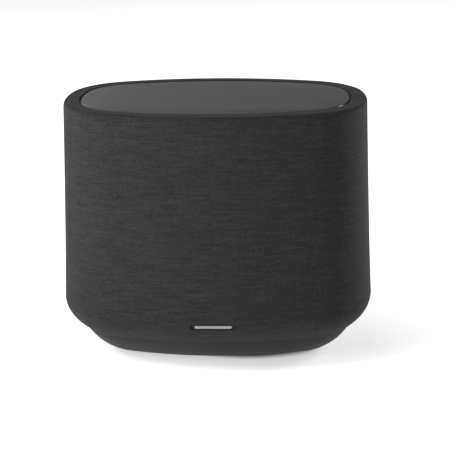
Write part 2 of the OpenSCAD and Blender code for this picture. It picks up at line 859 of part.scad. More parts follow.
// A dark cup: its rim follows the slope of the cloth and its face stands upright inside
module badge_plate() {
    wall = 0.7;
    badge_low = 3.1;
    low = badge_z - badge_h/2;
    high = badge_z + badge_h/2;
    color([0.07, 0.07, 0.07]) {
        intersection() {
            difference() {
                stadium_prism(badge_w, badge_h, badge_z, -half_d - 5, -half_d + 15);
                stadium_prism(badge_w - 2*wall, badge_h - 2*wall, badge_z, -half_d - 6, -half_d + 16);
            }
            oval_ring() polygon([[badge_low, low - 1], [0, high + 1], [6, high + 1], [6, low - 1]]);
        }
        intersection() {
            stadium_prism(badge_w, badge_h, badge_z, -half_d - 5, -half_d + 15);
            oval_band(3.4, 5, badge_z - badge_h, badge_z + badge_h);
        }
    }
}

module badge_inlay() {
    color([0.8, 0.8, 0.8]) intersection() {
        stadium_prism(badge_w*0.8, 2.6, badge_z - 0.8, -half_d - 5, -half_d + 15);
        oval_band(3.1, 3.4, badge_z - badge_h, badge_z + badge_h);
    }
}

// ---- Wiring ----

// A round wire through a list of points, with a slightly larger ball at each bend
module wire(points, r) {
    for (i = [0:len(points) - 2]) {
        d = points[i + 1] - points[i];
        translate(points[i]) rotate([0, acos(d[2]/norm(d)), atan2(d[1], d[0])]) {
            cylinder(h = norm(d), r = r, $fn = 24);
        }
    }
    for (i = [1:len(points) - 2]) translate(points[i]) sphere(r = 1.15*r, $fn = 32);
}

module speaker_wires() {
    color([0.6, 0.1, 0.1]) for (s = [-1, 1]) wire([
        [s*4, 18, cabinet_top_z + 6], [s*4, 18, 140], [s*8, -24, 118],
        [s*(driver_x - 33), -baffle_y + 34, woofer_z + 2]
    ], 1);
}

fabric_sleeve();
sleeve_frame();
top_glass();
lid_gasket();
touch_sheet();
lid_carrier();
status_light();
mic_board();
base_plinth();
foot_ring();
bottom_cover();
base_screws();
chassis_plate();
cabinet_shell();
front_baffle();
baffle_gasket();
baffle_screws();
at_front(-driver_x, woofer_z) woofer_basket();  // woofer_basket_left
at_front(-driver_x, woofer_z) woofer_motor();  // woofer_motor_left
at_front(-driver_x, woofer_z) woofer_cone();  // woofer_cone_left
at_front(-driver_x, woofer_z) woofer_surround();  // woofer_surround_left
at_front(-driver_x, woofer_z) woofer_spider();  // woofer_spider_left
at_front(driver_x, woofer_z) woofer_basket();  // woofer_basket_right
at_front(driver_x, woofer_z) woofer_motor();  // woofer_motor_right
at_front(driver_x, woofer_z) woofer_cone();  // woofer_cone_right
at_front(driver_x, woofer_z) woofer_surround();  // woofer_surround_right
at_front(driver_x, woofer_z) woofer_spider();  // woofer_spider_right
at_front(-driver_x, tweeter_z) tweeter_plate();  // tweeter_plate_left
at_front(-driver_x, tweeter_z) tweeter_motor();  // tweeter_motor_left
at_front(-driver_x, tweeter_z) tweeter_dome();  // tweeter_dome_left
at_front(driver_x, tweeter_z) tweeter_plate();  // tweeter_plate_right
at_front(driver_x, tweeter_z) tweeter_motor();  // tweeter_motor_right
at_front(driver_x, tweeter_z) tweeter_dome();  // tweeter_dome_right
at_rear(-radiator_x, radiator_z) radiator_frame();  // radiator_frame_left
at_rear(-radiator_x, radiator_z) radiator_plate();  // radiator_plate_left
at_rear(-radiator_x, radiator_z) radiator_surround();  // radiator_surround_left
at_rear(radiator_x, radiator_z) radiator_frame();  // radiator_frame_right
at_rear(radiator_x, radiator_z) radiator_plate();  // radiator_plate_right
at_rear(radiator_x, radiator_z) radiator_surround();  // radiator_surround_right
driver_screws();
main_board();
board_shields();
amp_board();
heat_sink();
power_board();
transformer();
capacitors();
antennas();
board_spacers();
board_screws();
rear_panel();
power_inlet();
inlet_pins();
pair_button();
mic_button();
reset_button();
button_board();
badge_plate();
badge_inlay();
speaker_wires();
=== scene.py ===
"""Visual model of the smart home hub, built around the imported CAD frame. Lengths are in metres."""
import json
import math

import bmesh
import bpy
import numpy as np
from mathutils import Matrix, Vector


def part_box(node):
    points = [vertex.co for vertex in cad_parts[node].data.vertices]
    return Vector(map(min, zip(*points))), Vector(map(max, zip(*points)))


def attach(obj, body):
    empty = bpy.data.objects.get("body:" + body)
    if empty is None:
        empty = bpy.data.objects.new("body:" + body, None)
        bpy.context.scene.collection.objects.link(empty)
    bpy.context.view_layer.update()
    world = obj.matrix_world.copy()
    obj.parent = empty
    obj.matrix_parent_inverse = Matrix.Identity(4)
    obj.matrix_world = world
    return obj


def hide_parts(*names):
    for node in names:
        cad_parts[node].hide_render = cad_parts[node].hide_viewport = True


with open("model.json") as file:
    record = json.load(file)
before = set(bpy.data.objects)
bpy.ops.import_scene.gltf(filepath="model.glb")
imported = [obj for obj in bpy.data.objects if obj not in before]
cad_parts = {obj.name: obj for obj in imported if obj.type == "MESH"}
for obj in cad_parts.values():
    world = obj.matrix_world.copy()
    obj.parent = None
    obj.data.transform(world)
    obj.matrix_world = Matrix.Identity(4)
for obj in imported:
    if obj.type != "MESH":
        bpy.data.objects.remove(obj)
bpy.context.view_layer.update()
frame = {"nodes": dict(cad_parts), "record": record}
nodes = frame["nodes"]

MM = 0.001

# ---- Shape facts shared with the CAD part, in millimetres ----

sleeve_lo, sleeve_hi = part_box("fabric_sleeve")
HALF_W = sleeve_hi.x / MM
HALF_D = -sleeve_lo.y / MM
BODY_H = sleeve_hi.z / MM
BELLY_Z = 57.2
TOP_LEAN = 5.6
RIM_ROLL = 3.9
TUCK_IN = 20.4
SEAM_Z = 27.8
LIP_INSET = 21.8
LIP_DEPTH = 5.0
CLOTH_T = 1.2
LIP_FOLD = 1.6  # radius of the cloth's fold over the inner edge of the rim
SEAM_DEPTH = 0.6  # the side seams' grooves: depth and half width
SEAM_W = 0.5
GLASS_INSET = 23.0
GLASS_CHAMFER = 0.6
FOOT_H = 1.6
# The sleeve's openings: width, height, height of the middle, and front (-1) or back (1)
BADGE = (45.4, 9.0, 50.8, -1)
PANEL = (100.4, 30.4, 68.0, 1)

# The outline is eight tangent arcs with exact centres, the same as in the CAD part.
SIDE_STEP = 1.4
TIP_STEP = (48 * SIDE_STEP - HALF_W + HALF_D) / 10
CORNER_R = HALF_D - 11 * TIP_STEP - 9 * SIDE_STEP
CORNER = (57 * SIDE_STEP, 11 * TIP_STEP)
TIP_R = CORNER_R + 61 * TIP_STEP
TIP_X = HALF_W - TIP_R
SIDE_R = CORNER_R + 185 * SIDE_STEP
SIDE_Y = HALF_D - SIDE_R
TIP_TURN = math.atan2(11, 60)
SIDE_TURN = math.atan2(176, 57)


def arcs():
    """The arcs from the front's middle, anticlockwise: start and end angle, centre, radius."""
    cx, cy = CORNER
    half, turn = math.pi, SIDE_TURN
    return [
        (-half / 2, -turn, (0, -SIDE_Y), SIDE_R),
        (-turn, -TIP_TURN, (cx, -cy), CORNER_R),
        (-TIP_TURN, TIP_TURN, (TIP_X, 0), TIP_R),
        (TIP_TURN, turn, (cx, cy), CORNER_R),
        (turn, half - turn, (0, SIDE_Y), SIDE_R),
        (half - turn, half - TIP_TURN, (-cx, cy), CORNER_R),
        (half - TIP_TURN, half + TIP_TURN, (-TIP_X, 0), TIP_R),
        (half + TIP_TURN, half + turn, (-cx, -cy), CORNER_R),
        (half + turn, 1.5 * half, (0, -SIDE_Y), SIDE_R),
    ]


ROUND = sum(r * (b - a) for a, b, _, r in arcs())  # the outline's length


def outline(s):
    """Points of the outermost outline and its outward normals at lengths s along it."""
    point, normal = np.zeros((len(s), 2)), np.zeros((len(s), 2))
    at = 0.0
    for a, b, c, r in arcs():
        length = r * (b - a)
        here = (s >= at - 1e-9) & (s <= at + length + 1e-9)
        angle = a + (s[here] - at) / r
        normal[here] = np.stack([np.cos(angle), np.sin(angle)], 1)
        point[here] = np.array(c) + r * normal[here]
        at += length
    return point, normal


def even_lengths(n):
    """Lengths along the outline of n evenly spaced points."""
    return np.linspace(0, ROUND, n + 1)[:-1]


def loop_at(s, inset, z):
    """The outline moved inwards by an inset, at height z, as points in millimetres."""
    point, normal = outline(s)
    flat = point - np.reshape(inset, (-1, 1)) * normal
    return np.column_stack([flat, np.broadcast_to(z, len(s))])


def bezier(p, n):
    """A cubic Bezier curve as n + 1 points."""
    t = np.linspace(0, 1, n + 1)[:, None]
    p = np.array(p, float)
    u = 1 - t
    return u**3 * p[0] + 3 * t * u**2 * p[1] + 3 * t**2 * u * p[2] + t**3 * p[3]


def arc(c, r, a, b, n):
    """A circle's arc from angle a to b, in degrees, as n + 1 points."""
    q = np.radians(np.linspace(a, b, n + 1))
    return np.array(c) + r * np.stack([np.cos(q), np.sin(q)], 1)


def lengths_along(line):
    """The length along a polyline at each of its points."""
    return np.concatenate([[0], np.cumsum(np.linalg.norm(np.diff(line, axis=0), axis=1))])


def resampled(line, steps):
    """The points of a polyline at the lengths in steps."""
    along = lengths_along(line)
    return np.column_stack([np.interp(steps, along, line[:, k]) for k in range(line.shape[1])])


def uneven(total, step, fine):
    """Lengths from 0 to total about step apart, or finer in fine's (start, end, step) stretches."""
    shortest = 0.3
    at, out = 0.0, [0.0]
    while at < total - 1e-6:
        width = min([step] + [f for a, b, f in fine if a <= at <= b])
        ahead = [a - at for a, b, f in fine if at < a < at + width]
        at += min([width] + [max(x, shortest) for x in ahead])
        out.append(min(at, total))
    out = np.array(out)
    if len(out) > 2 and out[-1] - out[-2] < 0.3 * step:  # a short last step joins the one before
        out = np.delete(out, -2)
    return out


# ---- Mesh helpers ----


def mesh_object(name, verts, faces, uv=None, sharp_above=35):
    """A mesh object from points in millimetres, with sharp edges above that turn in degrees."""
    mesh = bpy.data.meshes.new(name)
    mesh.from_pydata((verts * MM).tolist(), [], [list(map(int, f)) for f in faces])
    if uv is not None:
        layer = mesh.uv_layers.new(name="weave")
        index = np.zeros(len(mesh.loops), np.int32)
        mesh.loops.foreach_get("vertex_index", index)
        layer.data.foreach_set("uv", (uv[index] * MM).astype(np.float32).ravel())
    bm = bmesh.new()
    bm.from_mesh(mesh)
    bmesh.ops.recalc_face_normals(bm, faces=bm.faces)
    for f in bm.faces:
        f.smooth = True
    for e in bm.edges:
        e.smooth = e.is_manifold and e.calc_face_angle(0) < math.radians(sharp_above)
    bm.to_mesh(mesh)
    bm.free()
    obj = bpy.data.objects.new(name, mesh)
    bpy.context.scene.collection.objects.link(obj)
    return obj


def grid_faces(rows, cols, closed_rows):
    """Quads between successive closed loops of cols points, back to the first if closed_rows."""
    faces = []
    for j in range(rows if closed_rows else rows - 1):
        a, b = j * cols, ((j + 1) % rows) * cols
        for i in range(cols):
            k = (i + 1) % cols
            faces.append((a + i, a + k, b + k, b + i))
    return faces


def lofted(name, loops, capped=False, sharp_above=35):
    """A skin over closed loops of points: a ring, or with caps over its first and last loop."""
    n = len(loops[0])
    faces = grid_faces(len(loops), n, not capped)
    if capped:
        faces.append(tuple(range(n)))
        faces.append(tuple((len(loops) - 1) * n + i for i in range(n)))
    return mesh_object(name, np.vstack(loops), faces, sharp_above=sharp_above)


# ---- Node material helpers ----


class Nodes:
    """A material's node tree with one Principled shader."""

    def __init__(self, name, colour, roughness, **fixed):
        self.mat = bpy.data.materials.new(name)
        self.mat.use_nodes = True
        self.mat.diffuse_color = (*colour, 1)
        self.tree = self.mat.node_tree
        self.shader = self.tree.nodes["Principled BSDF"]
        self.put("Base Color", (*colour, 1))
        self.put("Roughness", roughness)
        for socket, value in fixed.items():
            self.put(socket.replace("_", " "), value)
        self.where = self.add("ShaderNodeTexCoord").outputs["Object"]

    def put(self, socket, value):
        """Sets or links one of the shader's sockets."""
        self.fill(self.shader.inputs[socket], value)

    def fill(self, socket, value):
        """Links a socket to another, or sets it to a constant."""
        if isinstance(value, bpy.types.NodeSocket):
            self.tree.links.new(value, socket)
        else:
            socket.default_value = value

    def add(self, kind, inputs=(), **props):
        """A new node with its properties set and its inputs filled."""
        node = self.tree.nodes.new(kind)
        for key, value in props.items():
            setattr(node, key, value)
        for key, value in dict(inputs).items():
            self.fill(node.inputs[key], value)
        return node

    def math(self, operation, *values):
        node = self.add("ShaderNodeMath", operation=operation)
        for socket, value in zip(node.inputs, values):
            self.fill(socket, value)
        return node.outputs[0]

    def scaled(self, x, y, z):
        """The place in the object's own frame, stretched along each axis."""
        node = self.add("ShaderNodeVectorMath", operation="MULTIPLY")
        self.fill(node.inputs[0], self.where)
        node.inputs[1].default_value = (x, y, z)
        return node.outputs[0]

    def noise(self, scale, detail=2.0, rough=0.5, vector=None, distortion=0.0):
        node = self.add("ShaderNodeTexNoise", {
            "Vector": vector or self.where, "Scale": scale, "Detail": detail,
            "Roughness": rough, "Distortion": distortion,
        })
        return node.outputs["Fac"]

    def cells(self, scale, feature="F1"):
        inputs = {"Vector": self.where, "Scale": scale}
        return self.add("ShaderNodeTexVoronoi", inputs, feature=feature).outputs["Distance"]

    def speckle(self, x, y):
        """A random tone for each whole-number cell of x and y."""
        cell = {"X": self.math("FLOOR", x), "Y": self.math("FLOOR", y)}
        place = {"Vector": self.add("ShaderNodeCombineXYZ", cell).outputs["Vector"]}
        node = self.add("ShaderNodeTexWhiteNoise", place, noise_dimensions="2D")
        return node.outputs["Value"]

    def span(self, value, low, high, to_low=0.0, to_high=1.0):
        node = self.add("ShaderNodeMapRange", {
            "Value": value, "From Min": low, "From Max": high, "To Min": to_low, "To Max": to_high,
        })
        return node.outputs["Result"]

    def tones(self, value, stops):
        """A colour ramp. Each stop is (position, linear colour)."""
        node = self.add("ShaderNodeValToRGB", {"Fac": value})
        ramp = node.color_ramp
        while len(ramp.elements) < len(stops):
            ramp.elements.new(1.0)
        for element, (at, colour) in zip(ramp.elements, stops):
            element.position = at
            element.color = (*colour, 1)
        return node.outputs["Color"]

    def mixed(self, share, ground, colour):
        """A colour socket mixed with a linear colour by share."""
        node = self.add("ShaderNodeMix", data_type="RGBA")
        factor, a, b = 0, 6, 7  # the numbers of the sockets that a mix of colours uses
        self.fill(node.inputs[factor], share)
        self.fill(node.inputs[a], ground)
        self.fill(node.inputs[b], (*colour, 1))
        return node.outputs[2]

    def bump(self, height, depth, strength=1.0):
        inputs = {"Strength": strength, "Distance": depth, "Height": height}
        return self.add("ShaderNodeBump", inputs).outputs["Normal"]


def shade(colour, factor):
    """The colour made lighter or darker."""
    return tuple(min(c * factor, 1.0) for c in colour)


def between(colour, low, high, start=0.3, end=0.7):
    """Stops for tones() from one shade of the colour to another."""
    return [(start, shade(colour, low)), (end, shade(colour, high))]


def moulded(name, colour, rough, grain=0.00035, depth=0.00002, sway=0.12, **fixed):
    """Moulded plastic: a fine spark-eroded grain, faint flow marks and uneven gloss."""
    m = Nodes(name, colour, rough, **fixed)
    grains = m.noise(1 / grain, 3.0, 0.6)
    flow = m.noise(14.0, 3.0, 0.55, distortion=0.6)
    tone = m.math("ADD", m.math("MULTIPLY", grains, 0.45), m.math("MULTIPLY", flow, 0.55))
    m.put("Base Color", m.tones(tone, between(colour, 1 - sway, 1 + sway)))
    wear = m.math("MULTIPLY", m.noise(45.0, 4.0), 0.5)
    gloss = m.math("ADD", m.math("MULTIPLY", grains, 0.5), wear)
    m.put("Roughness", m.span(gloss, 0.3, 0.7, rough - 0.07, rough + 0.07))
    m.put("Normal", m.bump(grains, depth))
    return m


def rubber(name, colour, rough):
    """Moulded rubber: soft sheen, dusty low spots and a pebbled surface."""
    m = Nodes(name, colour, rough, Specular_IOR_Level=0.35, Sheen_Weight=0.08)
    pebble = m.cells(1600.0, "SMOOTH_F1")
    dust = m.noise(90.0, 4.0, 0.6)
    m.put("Base Color", m.tones(dust, between(colour, 0.8, 1.5, 0.35, 0.75)))
    m.put("Roughness", m.span(dust, 0.3, 0.8, rough - 0.05, rough + 0.12))
    m.put("Normal", m.bump(pebble, 0.00003))
    return m


def metal(name, colour, rough, brushed=(1.0, 1.0, 1.0), depth=0.000008, grime=0.12):
    """Metal with fine machining or brushing lines and uneven oxide."""
    m = Nodes(name, colour, rough, Metallic=1.0)
    lines = m.noise(900.0, 2.0, 0.6, vector=m.scaled(*brushed))
    oxide = m.noise(60.0, 4.0, 0.6)
    m.put("Base Color", m.tones(oxide, between(colour, 1 - grime, 1 + 0.5 * grime)))
    m.put("Roughness", m.span(lines, 0.25, 0.75, max(rough - 0.08, 0.05), rough + 0.1))
    m.put("Normal", m.bump(lines, depth))
    return m


def laminate(name, colour, trace):
    """Printed circuit board: tracks under the solder mask, vias and a woven glass ground."""
    m = Nodes(name, colour, 0.42, Coat_Weight=0.25)
    m.put("Coat Roughness", 0.2)
    blocks = m.add("ShaderNodeTexBrick", {
        "Vector": m.where, "Scale": 210.0, "Mortar Size": 0.06, "Mortar Smooth": 0.1, "Bias": 0.0,
        "Brick Width": 0.9, "Row Height": 0.35,
    }).outputs["Fac"]
    via = m.span(m.cells(420.0), 0.12, 0.2, 1.0, 0.0)
    copper = m.math("MAXIMUM", m.math("MULTIPLY", blocks, 0.8), via)
    ground = m.tones(m.noise(2200.0, 2.0), between(colour, 0.82, 1.12, 0.35, 0.65))
    m.put("Base Color", m.mixed(copper, ground, trace))
    m.put("Normal", m.bump(copper, 0.00003))
    return m


# ---- Materials ----

CLOTH_TONE = (0.0265, 0.0265, 0.0264)
# How much of the cloth's tone comes from each crossing of yarns, yarn along the body and yarn up it
CLOTH_SPECKLE, CLOTH_SLUB, CLOTH_STRIPE = 0.2, 0.6, 0.15


def cloth_material():
    """Charcoal melange weave. UV in metres: x runs round the body, y over the rim and down."""
    warp, weft = 0.00115, 0.00105  # yarn pitches round the body and up it
    m = Nodes("cloth", (0.05, 0.05, 0.05), 0.95, Specular_IOR_Level=0.1, Sheen_Weight=0.03)
    m.put("Sheen Roughness", 0.5)
    weave = m.add("ShaderNodeUVMap", uv_map="weave").outputs["UV"]
    split = m.add("ShaderNodeSeparateXYZ", {"Vector": weave})
    u, v = split.outputs["X"], split.outputs["Y"]
    across, up = m.math("DIVIDE", u, warp), m.math("DIVIDE", v, weft)

    def wave(x):
        return m.math("SINE", m.math("MULTIPLY", x, math.pi))

    def streaks(yarn, along, seed):
        """Tone along each yarn: yarn counts the yarns, and along is in lengths of a slub."""
        node = m.add("ShaderNodeCombineXYZ", {
            "X": along, "Y": m.math("MULTIPLY", m.math("FLOOR", yarn), 7.31), "Z": seed,
        })
        return m.noise(1.0, 2.0, 0.55, vector=node.outputs["Vector"])

    def weighted(*pairs):
        """The sum of values, each centred on a half and times its weight."""
        total = None
        for value, weight in pairs:
            term = m.math("MULTIPLY", m.math("SUBTRACT", value, 0.5), weight)
            total = term if total is None else m.math("ADD", total, term)
        return total

    cross = m.math("MULTIPLY", wave(across), wave(up))
    knuckle = m.math("POWER", m.math("ABSOLUTE", cross), 0.5)
    slub = streaks(up, m.math("MULTIPLY", u, 40.0), 0.0)
    stripe = streaks(across, m.math("MULTIPLY", v, 60.0), 31.7)
    fibre = m.noise(3000.0, 2.0, 0.7)
    drift = m.noise(18.0, 3.0, 0.5)
    tone = weighted(
        (m.speckle(across, up), CLOTH_SPECKLE), (slub, CLOTH_SLUB), (stripe, CLOTH_STRIPE),
        (fibre, 0.05), (drift, 0.06), (m.span(cross, -0.1, 0.1), 0.2), (knuckle, 0.1),
    )
    # the rear half, between the side seams, is made a little darker
    from_back = m.math("ABSOLUTE", m.math("SUBTRACT", u, ROUND * MM / 2))
    rear = m.math("LESS_THAN", from_back, ROUND * MM / 4)
    shown = m.math("ADD", m.math("ADD", 0.5, tone), m.math("MULTIPLY", rear, -0.03))
    stops = [(0.0, (0.0, 0.0, 0.0)), (0.5, CLOTH_TONE), (1.0, shade(CLOTH_TONE, 2.2))]
    m.put("Base Color", m.tones(shown, stops))
    height = weighted((knuckle, 1.0), (slub, 0.5), (fibre, 0.3))
    m.put("Normal", m.bump(height, 0.0001, 0.5))
    m.put("Roughness", m.span(fibre, 0.3, 0.7, 0.88, 0.98))
    return m


def glass_material():
    """Satin-etched dark glass with faint wipe marks, and a polished chamfer round its edge."""
    m = Nodes("lid_glass", (0.064, 0.064, 0.065), 0.5, IOR=1.3)
    etch = m.noise(5200.0, 2.0, 0.6)
    wipe = m.noise(9.0, 4.0, 0.6, vector=m.scaled(1.0, 3.0, 1.0), distortion=0.8)
    m.put("Base Color", m.tones(wipe, [(0.3, (0.063, 0.063, 0.064)), (0.7, (0.065, 0.065, 0.066))]))
    facing = m.add("ShaderNodeTexCoord").outputs["Normal"]
    flat = m.span(m.add("ShaderNodeSeparateXYZ", {"Vector": facing}).outputs["Z"], 0.9, 0.99)
    satin = m.math("ADD", m.span(wipe, 0.3, 0.7, 0.5, 0.56), m.span(etch, 0.3, 0.7, -0.02, 0.02))
    polished = 0.12  # roughness of the chamfer
    rougher = m.math("MULTIPLY", flat, m.math("SUBTRACT", satin, polished))
    m.put("Roughness", m.math("ADD", rougher, polished))
    m.put("Normal", m.bump(etch, 0.000001))
    return m


def cone_material():
    """Pressed paper pulp: long fibres and a slightly glossy binder."""
    colour = (0.035, 0.034, 0.033)
    m = Nodes("cone_pulp", colour, 0.7)
    pulp = m.noise(1.0, 5.0, 0.7, vector=m.scaled(500.0, 500.0, 900.0), distortion=1.2)
    m.put("Base Color", m.tones(pulp, between(colour, 0.7, 1.6)))
    m.put("Roughness", m.span(pulp, 0.3, 0.7, 0.6, 0.8))
    m.put("Normal", m.bump(pulp, 0.00006))
    return m


def woven_material(name, colour, pitch, rough):
    """A fine impregnated cloth for a suspension or a dome."""
    m = Nodes(name, colour, rough, Sheen_Weight=0.1)
    weave = m.add("ShaderNodeTexChecker", {"Vector": m.where, "Scale": 1 / pitch}).outputs["Fac"]
    stain = m.noise(120.0, 3.0)
    height = m.math("MULTIPLY", weave, m.noise(2.0 / pitch, 2.0))
    tone = m.math("ADD", m.math("MULTIPLY", weave, 0.4), m.math("MULTIPLY", stain, 0.6))
    m.put("Base Color", m.tones(tone, between(colour, 0.75, 1.2, 0.2, 0.8)))
    m.put("Roughness", m.span(stain, 0.3, 0.7, rough - 0.06, rough + 0.06))
    m.put("Normal", m.bump(height, 0.00005))
    return m


def ferrite_material():
    """Sintered magnet: dull grey-black with grinding marks and chips."""
    colour = (0.06, 0.06, 0.063)
    m = Nodes("ferrite", colour, 0.5, Metallic=0.3)
    marks = m.noise(1.0, 3.0, 0.6, vector=m.scaled(1500.0, 300.0, 1500.0))
    chips = m.span(m.cells(260.0), 0.1, 0.25, 1.6, 1.0)
    tone = m.math("MULTIPLY", m.span(marks, 0.2, 0.8, 0.75, 1.2), m.math("MULTIPLY", chips, 0.5))
    m.put("Base Color", m.tones(tone, between(colour, 0.75, 1.8, 0.3, 0.9)))
    m.put("Roughness", m.span(marks, 0.3, 0.7, 0.42, 0.6))
    m.put("Normal", m.bump(marks, 0.00003))
    return m


def tape_material():
    """Yellow polyester tape wound in overlapping turns."""
    colour = (0.75, 0.5, 0.06)
    m = Nodes("transformer_tape", colour, 0.3, Coat_Weight=0.3)
    split = m.add("ShaderNodeSeparateXYZ", {"Vector": m.where})
    turns = m.math("FRACT", m.math("MULTIPLY", split.outputs["Z"], 260.0))
    crease = m.noise(300.0, 4.0, 0.6)
    tone = m.math("ADD", m.math("MULTIPLY", turns, 0.5), m.math("MULTIPLY", crease, 0.5))
    m.put("Base Color", m.tones(tone, between(colour, 0.72, 1.1, 0.25, 0.75)))
    m.put("Roughness", m.span(crease, 0.3, 0.7, 0.22, 0.42))
    m.put("Normal", m.bump(m.math("ADD", turns, crease), 0.00004))
    return m


def guide_material():
    """Milky light guide: a frosted diffuser with faint cloudiness."""
    m = Nodes("light_guide", (0.78, 0.8, 0.82), 0.4, Transmission_Weight=0.35, IOR=1.49)
    haze = m.noise(260.0, 4.0, 0.6)
    m.put("Base Color", m.tones(haze, [(0.3, (0.7, 0.72, 0.75)), (0.7, (0.84, 0.86, 0.88))]))
    m.put("Roughness", m.span(haze, 0.3, 0.7, 0.32, 0.5))
    m.put("Normal", m.bump(m.noise(2400.0, 2.0), 0.00001))
    return m


def film_material():
    """Touch sensor film: amber plastic with a grid of printed lines."""
    m = Nodes("sensor_film", (0.5, 0.26, 0.06), 0.28, Coat_Weight=0.4)
    grid = m.add("ShaderNodeTexBrick", {
        "Vector": m.where, "Scale": 200.0, "Mortar Size": 0.03, "Mortar Smooth": 0.2,
        "Brick Width": 1.0, "Row Height": 1.0,
    }, offset=0.0).outputs["Fac"]
    cloud = m.tones(m.noise(50.0, 3.0), [(0.3, (0.44, 0.22, 0.05)), (0.7, (0.56, 0.3, 0.08))])
    m.put("Base Color", m.mixed(m.math("MULTIPLY", grid, 0.6), cloud, (0.75, 0.72, 0.66)))
    m.put("Normal", m.bump(grid, 0.00001))
    return m


MATTE, SATIN = {"Specular_IOR_Level": 0.2}, {"Specular_IOR_Level": 0.35}

MATERIALS = {
    "cloth": cloth_material(),
    "lid_glass": glass_material(),
    "sensor_film": film_material(),
    "light_guide": guide_material(),
    "cone_pulp": cone_material(),
    "ferrite": ferrite_material(),
    "transformer_tape": tape_material(),
    "spider_cloth": woven_material("spider_cloth", (0.42, 0.27, 0.1), 0.0006, 0.75),
    "dome_cloth": woven_material("dome_cloth", (0.2, 0.2, 0.19), 0.0003, 0.6),
    "frame_plastic": moulded("frame_plastic", (0.014, 0.014, 0.015), 0.6),
    "plinth_plastic": moulded("plinth_plastic", (0.019, 0.019, 0.0192), 0.6, sway=0.07, **MATTE),
    "cabinet_plastic": moulded(
        "cabinet_plastic", (0.03, 0.03, 0.032), 0.5, grain=0.0006, depth=0.00004
    ),
    "panel_plastic": moulded("panel_plastic", (0.018, 0.018, 0.0185), 0.5, **SATIN),
    "inlet_plastic": moulded("inlet_plastic", (0.012, 0.012, 0.012), 0.4),
    "button_plastic": moulded("button_plastic", (0.04, 0.04, 0.041), 0.38, depth=0.00001),
    "badge_black": moulded("badge_black", (0.017, 0.017, 0.017), 0.5, depth=0.00001, **MATTE),
    "wire_jacket": moulded(
        "wire_jacket", (0.36, 0.03, 0.025), 0.42, grain=0.0004, depth=0.00001
    ),
    "capacitor_sleeve": moulded(
        "capacitor_sleeve", (0.025, 0.035, 0.09), 0.28, grain=0.0012, Coat_Weight=0.3
    ),
    "seal_rubber": rubber("seal_rubber", (0.02, 0.02, 0.02), 0.72),
    "foot_rubber": rubber("foot_rubber", (0.013, 0.013, 0.013), 0.78),
    "surround_rubber": rubber("surround_rubber", (0.012, 0.012, 0.012), 0.55),
    "steel": metal("steel", (0.5, 0.5, 0.52), 0.35, (0.05, 1.0, 1.0)),
    "screw_steel": metal("screw_steel", (0.3, 0.3, 0.31), 0.32, (1.0, 1.0, 0.1)),
    "basket_metal": metal("basket_metal", (0.12, 0.12, 0.13), 0.48, depth=0.00002),
    "heat_sink_metal": metal("heat_sink_metal", (0.62, 0.63, 0.65), 0.34, (1.0, 0.04, 1.0)),
    "brass": metal("brass", (0.72, 0.55, 0.24), 0.28, (1.0, 1.0, 0.1)),
    "pin_metal": metal("pin_metal", (0.72, 0.72, 0.74), 0.2, (1.0, 0.1, 1.0)),
    "badge_metal": metal("badge_metal", (0.3, 0.3, 0.305), 0.4, (0.04, 1.0, 1.0), grime=0.06),
    "shield_metal": metal("shield_metal", (0.68, 0.69, 0.7), 0.3, (1.0, 0.2, 1.0)),
    "circuit_board": laminate("circuit_board", (0.012, 0.085, 0.04), (0.045, 0.2, 0.09)),
    "power_board_laminate": laminate("power_board_laminate", (0.4, 0.27, 0.09), (0.52, 0.4, 0.2)),
}

for part in frame["record"]["subparts"]:
    shown = nodes[part["node"]]
    shown.data.materials.clear()
    shown.data.materials.append(MATERIALS[part["material_slot"]].mat)


def dress(obj, slot):
    """Gives a new piece its material and slot, and sets it on the housing."""
    obj.data.materials.append(MATERIALS[slot].mat)
    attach(obj, "housing")


# ---- Cloth sleeve ----


def skin_profile():
    """The cloth's outer line as (inset, height): out of the rim, over the roll, down and under."""
    top, side_top = BODY_H, BODY_H - RIM_ROLL
    share = np.linspace(0, 1, 6)  # the CAD's side has five straight runs, which are smoothed here
    lean = TOP_LEAN * (1 - share) ** 0.8
    lean_z = side_top + (BELLY_Z - side_top) * share
    height = np.linspace(side_top, BELLY_Z, 60)
    inset = np.interp(height, lean_z[::-1], lean[::-1])
    inset = np.convolve(np.pad(inset, 4, mode="edge"), np.ones(9) / 9, mode="valid")
    inset[0], inset[-1] = TOP_LEAN, 0.0
    belly, seam = (0, BELLY_Z), (TUCK_IN, SEAM_Z)
    tuck = bezier([belly, (0, BELLY_Z - 13.8), (TUCK_IN - 7.5, SEAM_Z + 5.3), seam], 60)
    return np.vstack([
        [(LIP_INSET, top - LIP_DEPTH)],
        arc((LIP_INSET - LIP_FOLD, top - LIP_FOLD), LIP_FOLD, 0, 90, 8),
        arc((TOP_LEAN + RIM_ROLL, side_top), RIM_ROLL, 90, 180, 16),
        np.column_stack([inset, height])[1:],
        tuck[1:],
    ])


def offset_line(line, t):
    """The line moved to its inner side by t."""
    d = np.gradient(line, axis=0)
    d /= np.linalg.norm(d, axis=1)[:, None]
    return line + t * np.stack([-d[:, 1], d[:, 0]], 1)


def in_stadium(x, z, opening):
    """Distance from a stadium's edge, negative inside, and the nearest x and z on the edge."""
    w, h, middle, _ = opening
    straight, r = (w - h) / 2, h / 2
    qx = np.clip(x, -straight, straight)
    far = np.hypot(x - qx, z - middle)
    safe = np.maximum(far, 1e-9)
    return far - r, qx + (x - qx) * r / safe, middle + (z - middle) * r / safe


def at_height(line, z, values):
    """Values given at the points of the sleeve's line, read at height z below the roll."""
    below = line[:, 1] < BODY_H - RIM_ROLL - 1
    return np.interp(-z, -line[below, 1], values[below])


